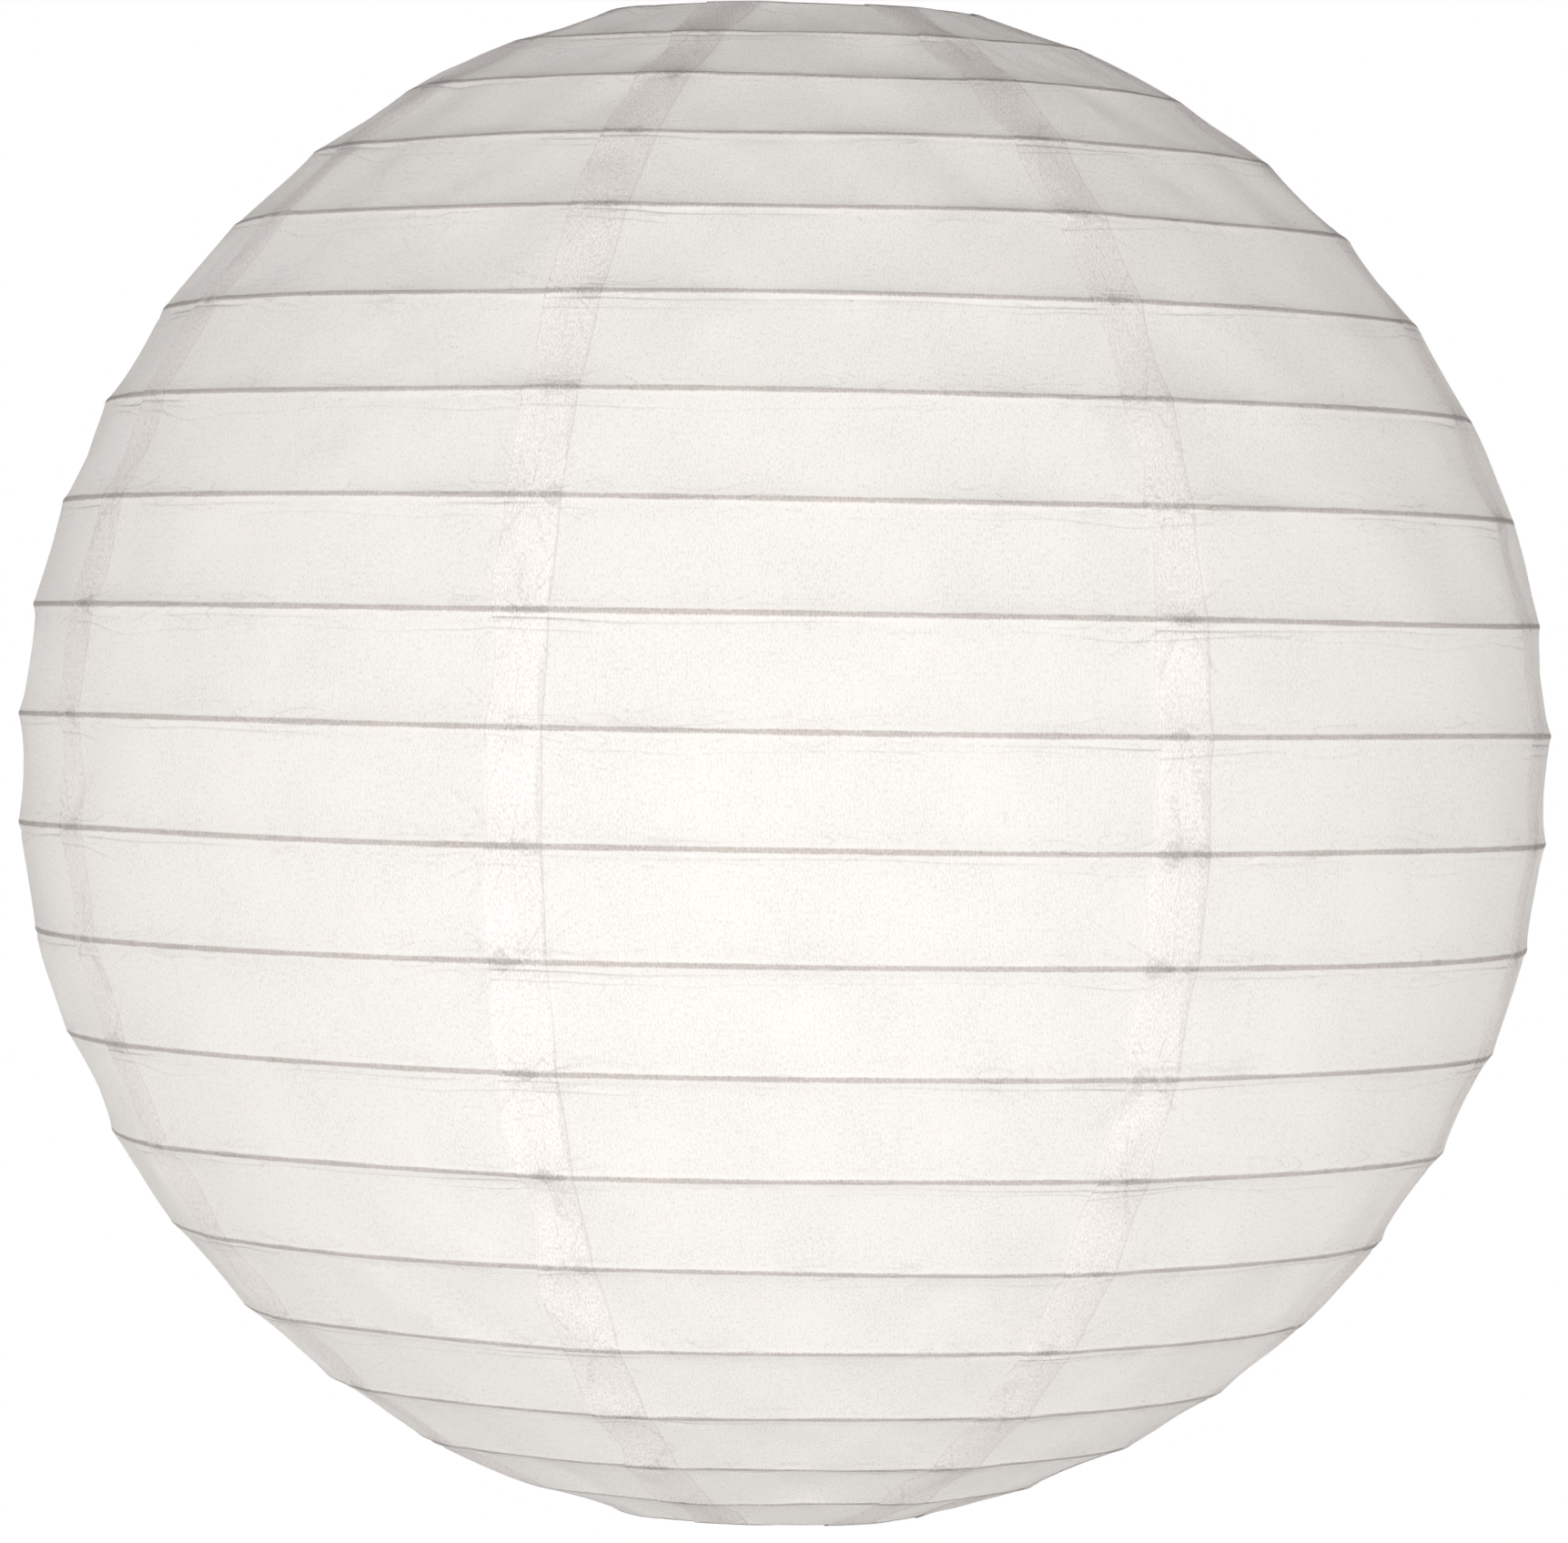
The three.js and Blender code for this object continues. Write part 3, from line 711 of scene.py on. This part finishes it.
RIB_PITCH = 28 * MM
FRONT_SHARE = 0.42
LAP_SHADE = 0.045
LAP_GRAIN = 0.12
# Depth of the painted rib-wire shadows, and the share of it kept where a rib crosses a lap.
RIB_SHADE = 0.29
RIB_SHADOW_OVER_LAP = 0.64


def paper_material():
    """Thin white paper, lit from both sides: mottled pulp, fibres and glued laps, with painted shade along
    creases and wrinkles, painted shadows of the rib wires and painted highlights beside ribs and creases.
    """
    n = Nodes("paper")
    uv = n.add("UVMap", uv_map="paper").outputs[0]
    split = n.add("SeparateXYZ", {0: uv})
    across, ring = split.outputs[0], split.outputs[1]
    own = n.math("MULTIPLY", n.add("ObjectInfo").outputs["Random"], 3.0)
    place = n.vector(n.math("ADD", across, own), n.math("MULTIPLY_ADD", ring, RIB_PITCH, own))
    lap_at = n.add("Attribute", attribute_name="lap").outputs["Fac"]
    lap = n.spread(lap_at, 1.0, 1.02, 1.0, 0.0)

    share = n.math("FRACT", n.math("ADD", ring, 0.5))
    signed_rib = n.math("MULTIPLY", n.math("SUBTRACT", share, 0.5), RIB_PITCH)
    from_rib = n.size_of(signed_rib)

    def field(scales, detail=1.0, roughness=0.5, distortion=0.0):
        """Noise over the sheet, with features of 1 / scale metres across and along it."""
        return n.noise(n.stretched(place, (*scales, 1)), 1.0, detail, roughness, distortion, flat=True)

    clouds = field((47, 29), 2.0, 0.6)
    mottle = field((420, 260), 3.0, 0.7)
    grain = field((1700, 120), 2.0, 0.6)
    specks = field((2300, 1000), 1.0, 0.7)
    broken = field((31, 44), 1.0)

    warp = {0: n.stretched(place, (330, 120, 1)), 1: n.math("MULTIPLY", clouds, 14.0)}
    warped = n.add("VectorMath", warp, operation="ADD").outputs[0]
    cell_inputs = {"Vector": warped, "Scale": 1.0}
    cells = n.add("TexVoronoi", cell_inputs, voronoi_dimensions="2D", feature="DISTANCE_TO_EDGE")
    fibre_line = n.spread(cells.outputs["Distance"], 0.0, 0.045, 1.0, 0.0)
    fibre = n.product(fibre_line, n.spread(mottle, 0.45, 0.7))

    def level_lines(value, turns):
        """How far a value is from the middle of one of its evenly spaced levels, up to a half."""
        turn = n.math("FRACT", n.math("MULTIPLY", value, turns))
        return n.size_of(n.math("SUBTRACT", turn, 0.5))

    def hairlines(scales, turns, width, low, high):
        """Thin broken lines along the level curves of a stretched noise, used as painted shade along
        wrinkles.
        """
        line = n.spread(level_lines(field(scales, 1.0, 0.4, 0.2), turns), 0.0, width, 1.0, 0.0)
        return n.product(line, n.spread(broken, low, high))

    near_rib = n.spread(from_rib, 1.5 * MM, 8 * MM, 1.0, 0.15)
    from_seam = n.add("Attribute", attribute_name="from_seam").outputs["Fac"]
    near_seam = n.spread(n.size_of(from_seam), 10 * MM, 45 * MM, 1.0, 0.2)
    # Painted shade along wrinkles: pulled near the ribs, puckered near the ribs and the seams.
    pulled = n.product(hairlines((34, 190), 5.0, 0.10, 0.46, 0.56), near_rib)
    puckers = n.product(hairlines((70, 240), 4.0, 0.11, 0.53, 0.45), near_rib, near_seam)
    wrinkle_shade = n.math("MINIMUM", n.math("ADD", pulled, puckers), 1.0)

    def fan_crease_shade():
        """Painted shade along creases that fan out from each crossing of a rib and a seam, drawn along the
        ribs.
        """
        reach = n.length(n.vector(from_seam, signed_rib))
        bearing = n.math("ARCTAN2", signed_rib, n.math("MULTIPLY", from_seam, 0.35))
        own_fan = n.math("MULTIPLY_ADD", own, 9.0, n.math("MULTIPLY", n.math("ROUND", ring), 3.7))
        fan = n.noise(n.vector(n.math("MULTIPLY", bearing, 2.3), own_fan), 1.0, 1.0, 0.4, flat=True)
        line = n.spread(n.product(level_lines(fan, 5.0), reach), 0.0, 0.9 * MM, 1.0, 0.0)
        return n.product(line, n.spread(reach, 7 * MM, 38 * MM, 1.0, 0.0), n.spread(mottle, 0.42, 0.56))

    def crease_below(nearest, reach, slowly, comes_at):
        """Painted shade along a long fold that runs below a rib at a drifting distance, and comes and goes,
        with a painted highlight along its one side.
        """
        gap = n.math("MULTIPLY_ADD", field((slowly, 0.1), 2.0), reach, nearest)
        off = n.math("SUBTRACT", signed_rib, gap)
        line = n.spread(n.size_of(off), 0.0, 0.5 * MM, 1.0, 0.0)
        rough_line = n.product(line, n.spread(specks, 0.2, 0.5))
        lit_side = n.product(n.spread(off, -1.5 * MM, -0.4 * MM), n.spread(off, -0.4 * MM, 0.0, 1.0, 0.0))
        comes = n.spread(field((comes_at, 36), 0.0), 0.46, 0.58)
        comes = n.product(comes, n.math("MAXIMUM", near_seam, 0.45))
        return n.product(rough_line, comes), n.product(lit_side, comes)

    # Two painted shade lines below each rib, each with its painted highlight.
    crease_shade, crease_highlight = crease_below(0.6 * MM, 3.6 * MM, 13, 11)
    second_crease_shade, second_crease_highlight = crease_below(0.5 * MM, 9.0 * MM, 15, 9)

    # A painted highlight in a thin band just beside each rib line.
    halo_starts = n.spread(from_rib, 0.8 * MM, 1.2 * MM)
    rib_halo_highlight = n.product(halo_starts, n.spread(from_rib, 1.3 * MM, 2.1 * MM, 1.0, 0.0))

    def within(width, inner, outer):
        """One within a changing width of a rib, fading to nothing from inner inside it to outer outside."""
        return n.spread(n.math("SUBTRACT", from_rib, width), -inner, outer, 1.0, 0.0)

    # A painted shadow of each rib wire along a line of changing width, fainter where it crosses a lap.
    rib_shadow_width = n.math("MULTIPLY_ADD", field((60, 20), 2.0), 0.5 * MM, 0.38 * MM)
    over_lap = n.spread(lap_at, 1.0, 1.02, RIB_SHADOW_OVER_LAP, 1.0)
    rib_shadow = n.product(within(rib_shadow_width, 0.25 * MM, 0.3 * MM), over_lap)
    # Painted shade in the small pinch folds where a lap crosses a rib.
    pinch_shade_width = n.math("MULTIPLY_ADD", field((150, 17), 1.0), 9.0 * MM, -4.1 * MM)
    pinch_shade = n.product(within(pinch_shade_width, 0.2 * MM, 0.3 * MM), lap)
    cut_edge = n.spread(lap_at, 0.0, 0.035, 1.0, 0.0)
    hidden_edge = n.spread(n.size_of(n.math("SUBTRACT", lap_at, 1.0)), 0.0, 0.035, 1.0, 0.0)
    edges = n.product(n.math("ADD", cut_edge, hidden_edge), n.spread(specks, 0.3, 0.55))
    lap_grain = n.product(lap, n.math("SUBTRACT", specks, 0.5))

    def summed(total, terms):
        for value, weight in terms:
            total = n.math("MULTIPLY_ADD", value, weight, total)
        return total

    uneven = [(clouds, 0.08), (mottle, 0.09), (grain, 0.10), (specks, 0.38)]
    # Of these marks, the wrinkle, crease and pinch lines are painted shade, the rib lines painted shadow,
    # and the halo and crease highlights painted light.
    marks = [
        (fibre, 0.015), (wrinkle_shade, -0.07), (fan_crease_shade(), -0.10), (crease_shade, -0.24), (crease_highlight, 0.03),
        (second_crease_shade, -0.14), (second_crease_highlight, 0.02), (rib_halo_highlight, 0.04), (edges, -0.12), (pinch_shade, -0.10),
        (lap, -LAP_SHADE), (rib_shadow, -RIB_SHADE), (lap_grain, LAP_GRAIN),
    ]
    clarity = summed(1.0 - sum(weight for _, weight in uneven) / 2, uneven + marks)
    pure = n.mix(lap, painted((0.993, 0.986, 0.980)), painted((0.993, 0.981, 0.976)))
    # The painted rib shadow is a little warmer than the paper round it.
    pure = n.mix(rib_shadow, pure, painted((0.993, 0.970, 0.958)))
    tone = n.add("VectorMath", {0: pure, 3: clarity}, operation="SCALE").outputs[0]

    height = summed(0.0, [(mottle, 0.3), (grain, 0.15), (pulled, 0.6), (crease_shade, 0.7)])
    normal = n.bump(height, 0.4, 0.6 * MM)
    front = n.add("BsdfDiffuse", {"Color": tone, "Roughness": 0.3, "Normal": normal}).outputs[0]
    through = n.add("BsdfTranslucent", {"Color": tone, "Normal": normal}).outputs[0]
    return n.close(n.add("MixShader", {0: FRONT_SHARE, 1: through, 2: front}).outputs[0])


def wire_material(name, colour, roughness, tarnish):
    """Plated metal: a fine grain, a little tarnish and small pits."""
    n = Nodes(name)
    place = object_place(n)
    tarnished = n.spread(n.noise(place, 160, 4.0, 0.65), 0.5, 0.72)
    drawn = n.noise(n.stretched(place, (900, 900, 900)), 1.0, 2.0, 0.5)
    pits = n.spread(n.noise(place, 1400, 2.0, 0.6), 0.62, 0.75)
    base = n.mix(tarnished, colour, tarnish)
    rough = n.math("MULTIPLY_ADD", tarnished, 0.2, n.math("MULTIPLY_ADD", drawn, 0.12, roughness - 0.06))
    height = n.math("SUBTRACT", n.math("MULTIPLY", drawn, 0.4), pits)
    normal = n.bump(height, 0.25, 0.05 * MM)
    return n.principled({"Base Color": base, "Metallic": 0.9, "Roughness": rough, "Normal": normal})


def plastic_material(name, colour, shade, roughness):
    """Moulded plastic: a faint orange-peel skin, slow yellowing and a few rubbed patches."""
    n = Nodes(name)
    place = object_place(n)
    aged = n.spread(n.noise(place, 38, 3.0, 0.6), 0.35, 0.75)
    peel = n.noise(place, 950, 2.0, 0.5)
    rubbed = n.spread(n.noise(n.stretched(place, (90, 90, 500)), 1.0, 4.0, 0.7), 0.55, 0.75)
    base = n.mix(aged, colour, shade)
    rough = n.math("MULTIPLY_ADD", rubbed, 0.18, roughness)
    normal = n.bump(n.math("ADD", peel, n.math("MULTIPLY", rubbed, 0.2)), 0.12, 0.05 * MM)
    return n.principled({"Base Color": base, "Roughness": rough, "Normal": normal, "Subsurface Weight": 0.08,
                         "Subsurface Radius": (4 * MM, 3 * MM, 2 * MM), "Subsurface Scale": 0.5})


BALL_GLOW = 0.4


def diffuser_material():
    """Frosted plastic that glows warmly, a little stronger at its lower half."""
    n = Nodes("frosted_ball")
    place = object_place(n)
    frost = n.noise(place, 700, 3.0, 0.6)
    z = n.add("SeparateXYZ", {0: place}).outputs[2]
    lower = n.spread(z, BALL_CENTRE.z - BALL_RADIUS, BALL_CENTRE.z + 0.6 * BALL_RADIUS, 1.0, 0.86)
    glow = n.product(lower, BALL_GLOW, n.math("MULTIPLY_ADD", frost, 0.06, 0.97))
    base = n.mix(frost, painted((0.82, 0.80, 0.765)), painted((0.78, 0.76, 0.72)))
    return n.principled({"Base Color": base, "Roughness": 0.55, "Emission Color": painted((1.0, 0.95, 0.87)),
                         "Emission Strength": glow, "Normal": n.bump(frost, 0.2, 0.05 * MM)})


def cell_material():
    """A plain shrink sleeve in two tones, with bare metal at both ends."""
    n = Nodes("cell_sleeve")
    place = object_place(n)
    low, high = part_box("battery_cell_1")
    z = n.add("SeparateXYZ", {0: place}).outputs[2]
    band = n.spread(z, high.z - 14 * MM, high.z - 13.6 * MM)
    foil = n.noise(n.stretched(place, (300, 300, 60)), 1.0, 3.0, 0.5)
    scuff = n.spread(n.noise(place, 420, 4.0, 0.7), 0.6, 0.78)
    dark = n.mix(foil, painted((0.20, 0.23, 0.27)), painted((0.26, 0.29, 0.33)))
    sleeve = n.mix(band, dark, painted((0.72, 0.60, 0.36)))
    bare = n.math("MAXIMUM", n.spread(z, low.z + 0.7 * MM, low.z + 0.9 * MM, 1.0, 0.0),
                  n.spread(z, high.z - 2.1 * MM, high.z - 1.9 * MM))
    base = n.mix(bare, n.mix(scuff, sleeve, painted((0.45, 0.46, 0.47))), painted((0.80, 0.80, 0.79)))
    rough = n.math("MULTIPLY_ADD", scuff, 0.2, 0.3)
    metal = n.math("MULTIPLY_ADD", bare, 0.55, 0.35)
    return n.principled({"Base Color": base, "Metallic": metal, "Roughness": rough,
                         "Normal": n.bump(scuff, 0.1, 0.05 * MM)})


def board_material():
    """A circuit board with a white mask, pale runs under it and traces of flux."""
    n = Nodes("board")
    place = object_place(n)
    cell_inputs = {"Vector": place, "Scale": 210.0, "Randomness": 0.35}
    cells = n.add("TexVoronoi", cell_inputs, feature="DISTANCE_TO_EDGE")
    runs = n.spread(cells.outputs["Distance"], 0.05, 0.09, 1.0, 0.0)
    flux = n.spread(n.noise(place, 260, 4.0, 0.6), 0.55, 0.72)
    mask = n.mix(runs, painted((0.90, 0.92, 0.89)), painted((0.80, 0.84, 0.78)))
    base = n.mix(flux, mask, painted((0.84, 0.80, 0.68)))
    return n.principled({"Base Color": base, "Roughness": 0.38, "Normal": n.bump(runs, 0.3, 0.06 * MM)})


def led_material():
    """A light chip: yellow phosphor that glows."""
    n = Nodes("led")
    place = object_place(n)
    grit = n.noise(place, 1800, 2.0, 0.6)
    base = n.mix(grit, painted((1.0, 0.93, 0.62)), painted((0.96, 0.86, 0.5)))
    return n.principled({"Base Color": base, "Roughness": 0.5, "Emission Color": painted((1.0, 0.96, 0.88)),
                         "Emission Strength": 3.0, "Normal": n.bump(grit, 0.2, 0.05 * MM)})


# The metals: colour, roughness and tarnished colour of each.
METALS = {
    "rib_wire": ((0.86, 0.835, 0.81), 0.5, (0.70, 0.665, 0.63)),
    "rim_wire": ((0.84, 0.83, 0.81), 0.42, (0.66, 0.63, 0.60)),
    "expander_wire": ((0.82, 0.82, 0.81), 0.26, (0.66, 0.64, 0.61)),
    "screw_metal": ((0.74, 0.74, 0.73), 0.34, (0.58, 0.55, 0.51)),
    "contact_metal": ((0.86, 0.84, 0.80), 0.28, (0.66, 0.60, 0.52)),
}
# The plastics: colour, aged colour and roughness of each.
PLASTICS = {
    "white_plastic": ((0.95, 0.948, 0.94), (0.93, 0.92, 0.89), 0.42),
    "switch_knob": ((0.34, 0.35, 0.37), (0.30, 0.31, 0.33), 0.5),
}


def make_materials():
    made = {
        "paper": paper_material(),
        "diffuser": diffuser_material(),
        "cell_sleeve": cell_material(),
        "board": board_material(),
        "led": led_material(),
    }
    for name, (colour, roughness, tarnish) in METALS.items():
        made[name] = wire_material(name, painted(colour), roughness, painted(tarnish))
    for name, (colour, aged, roughness) in PLASTICS.items():
        made[name] = plastic_material(name, painted(colour), painted(aged), roughness)
    return made


MATERIALS = make_materials()


def dress(piece, body, slot, nodes):
    """Gives a new piece its finish, the body it moves with and the CAD nodes it stands for."""
    piece.data.materials.clear()
    piece.data.materials.append(MATERIALS[slot])
    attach(piece, body)
    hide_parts(*nodes)


def refinish(node, slot, rounding=0.0):
    """Gives a CAD node its finish, and rounds its edges where it is given a width."""
    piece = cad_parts[node]
    piece.data.materials.clear()
    piece.data.materials.append(MATERIALS[slot])
    if rounding:
        edge_rounding(piece, rounding)


def build_paper():
    for number in range(1, GORE_COUNT + 1):
        gore = make_gore(number)
        dress(gore, "root", "paper", [f"gore_{number}"])
        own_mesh(gore)


def build_rings():
    for index, node in enumerate(RING_NODES):
        rim = index in (0, len(RINGS) - 1)
        body = {0: "root", len(RINGS) - 1: "bottom_rim"}.get(index, node)
        ring = closed_ring(f"{node}_wire", index, 14 if rim else 10, 288)
        dress(ring, body, "rim_wire" if rim else "rib_wire", [node])


def build_expander():
    wire = swept("expander_rod", expander_route(), EXPANDER_WIRE_RADIUS, 16)
    dress(wire, "root", "expander_wire", ["expander"])
    dress(make_ferrule(), "root", "screw_metal", ["expander_ferrule"])


def build_lamp():
    hook = swept("hook_rod", hook_route(), HOOK_WIRE_RADIUS, 16)
    dress(hook, "lamp_hanger", "expander_wire", ["lamp_hook"])
    dress(make_cap(), "lamp_hanger", "white_plastic", ["battery_cap"])
    dress(make_housing(), "lamp", "white_plastic", ["lamp_housing"])
    dress(make_ball(), "lamp", "diffuser", ["light_diffuser"])
    dress(make_slider(), "switch_slider", "switch_knob", ["switch_slider"])
    refinish("cap_contact", "contact_metal", 0.1 * MM)
    refinish("circuit_board", "board", 0.1 * MM)
    for i in (1, 2):
        refinish(f"board_screw_{i}", "screw_metal", 0.12 * MM)
    for i in (1, 2, 3):
        refinish(f"battery_cell_{i}", "cell_sleeve", 0.2 * MM)
        refinish(f"contact_spring_{i}", "contact_metal")
    for i in (1, 2, 3, 4):
        refinish(f"led_chip_{i}", "led", 0.25 * MM)


# ---------------------------------------------------------------- the studio
FLOOR_Z = BOTTOM_Z - 5.0
FLOOR_RADIUS = 24.0
FLOOR_FADES_FROM = 8.0
FLOOR_FADED_AT = 0.95 * FLOOR_RADIUS
WORLD_LIGHT = 0.08


def make_world():
    """White to the eye, with a faint even light on the lantern."""
    world = bpy.data.worlds.new("studio")
    bpy.context.scene.world = world
    world.use_nodes = True
    tree = world.node_tree
    tree.nodes.clear()
    path = tree.nodes.new("ShaderNodeLightPath")
    seen = tree.nodes.new("ShaderNodeBackground")
    seen.inputs["Color"].default_value = (1, 1, 1, 1)
    lit = tree.nodes.new("ShaderNodeBackground")
    lit.inputs["Color"].default_value = (1.0, 0.99, 0.98, 1)
    lit.inputs["Strength"].default_value = WORLD_LIGHT
    mix = tree.nodes.new("ShaderNodeMixShader")
    output = tree.nodes.new("ShaderNodeOutputWorld")
    tree.links.new(path.outputs["Is Camera Ray"], mix.inputs[0])
    tree.links.new(lit.outputs[0], mix.inputs[1])
    tree.links.new(seen.outputs[0], mix.inputs[2])
    tree.links.new(mix.outputs[0], output.inputs["Surface"])


# Name, azimuth, elevation and watts of each panel.
PANELS = [
    ("centre", 0, -5, 64.5),
    ("left", -55, 0, 29.0),
    ("right", 55, 0, 24.5),
    ("low", 0, -40, 9.0),
    ("behind", 180, 20, 12.0),
]
PANEL_DISTANCE = 2.6
PANEL_WIDTH = 1.2


def make_panels():
    """Wide soft round panels, mostly in front, that face the middle of the lantern."""
    middle = Vector((0, 0, CENTRE_Z))
    for name, azimuth, elevation, watts in PANELS:
        a, e = math.radians(azimuth), math.radians(elevation)
        away = Vector((math.sin(a) * math.cos(e), -math.cos(a) * math.cos(e), math.sin(e)))
        light = bpy.data.lights.new(f"panel_{name}", "AREA")
        light.shape = "DISK"
        light.size = PANEL_WIDTH
        light.energy = watts
        light.color = (1.0, 0.995, 0.985)
        panel = link(bpy.data.objects.new(f"panel_{name}", light))
        panel.location = middle + PANEL_DISTANCE * away
        panel.rotation_euler = (-away).to_track_quat("-Z", "Y").to_euler()


def make_floor():
    """A pale round floor whose edge fades into the white round about."""
    rings, segments = 24, 96
    vertices, faces = [(0, 0, FLOOR_Z)], []
    for i in range(1, rings + 1):
        for k in range(segments):
            angle = 2 * math.pi * k / segments
            r = FLOOR_RADIUS * i / rings
            vertices.append((r * math.cos(angle), r * math.sin(angle), FLOOR_Z))
    for k in range(segments):
        faces.append((0, 1 + k, 1 + (k + 1) % segments))
    for i in range(rings - 1):
        for k in range(segments):
            a, b = 1 + i * segments, 1 + (i + 1) * segments
            n = (k + 1) % segments
            faces.append((a + k, b + k, b + n, a + n))
    floor = mesh_object("floor", vertices, faces)
    n = Nodes("floor")
    apart = n.length(object_place(n))
    edge = n.spread(apart, FLOOR_FADES_FROM, FLOOR_FADED_AT)
    white = n.spread(apart, FLOOR_FADES_FROM, FLOOR_FADED_AT, 0.78, 1.0)
    seen_white = n.product(white, n.add("LightPath").outputs["Is Camera Ray"])
    glow = n.add("Emission", {"Color": (1, 0.995, 0.985, 1), "Strength": seen_white}).outputs[0]
    matt = n.add("BsdfDiffuse", {"Color": painted((0.93, 0.925, 0.915))}).outputs[0]
    dark = n.add("Emission", {"Color": (0, 0, 0, 1)}).outputs[0]
    faded = n.add("MixShader", {0: edge, 1: matt, 2: dark}).outputs[0]
    n.close(n.add("AddShader", {0: faded, 1: glow}).outputs[0])
    floor.data.materials.append(n.material)


def make_studio():
    make_world()
    make_panels()
    make_floor()
    bpy.context.scene.view_settings.view_transform = "Standard"


build_paper()
build_rings()
build_expander()
build_lamp()
make_studio()
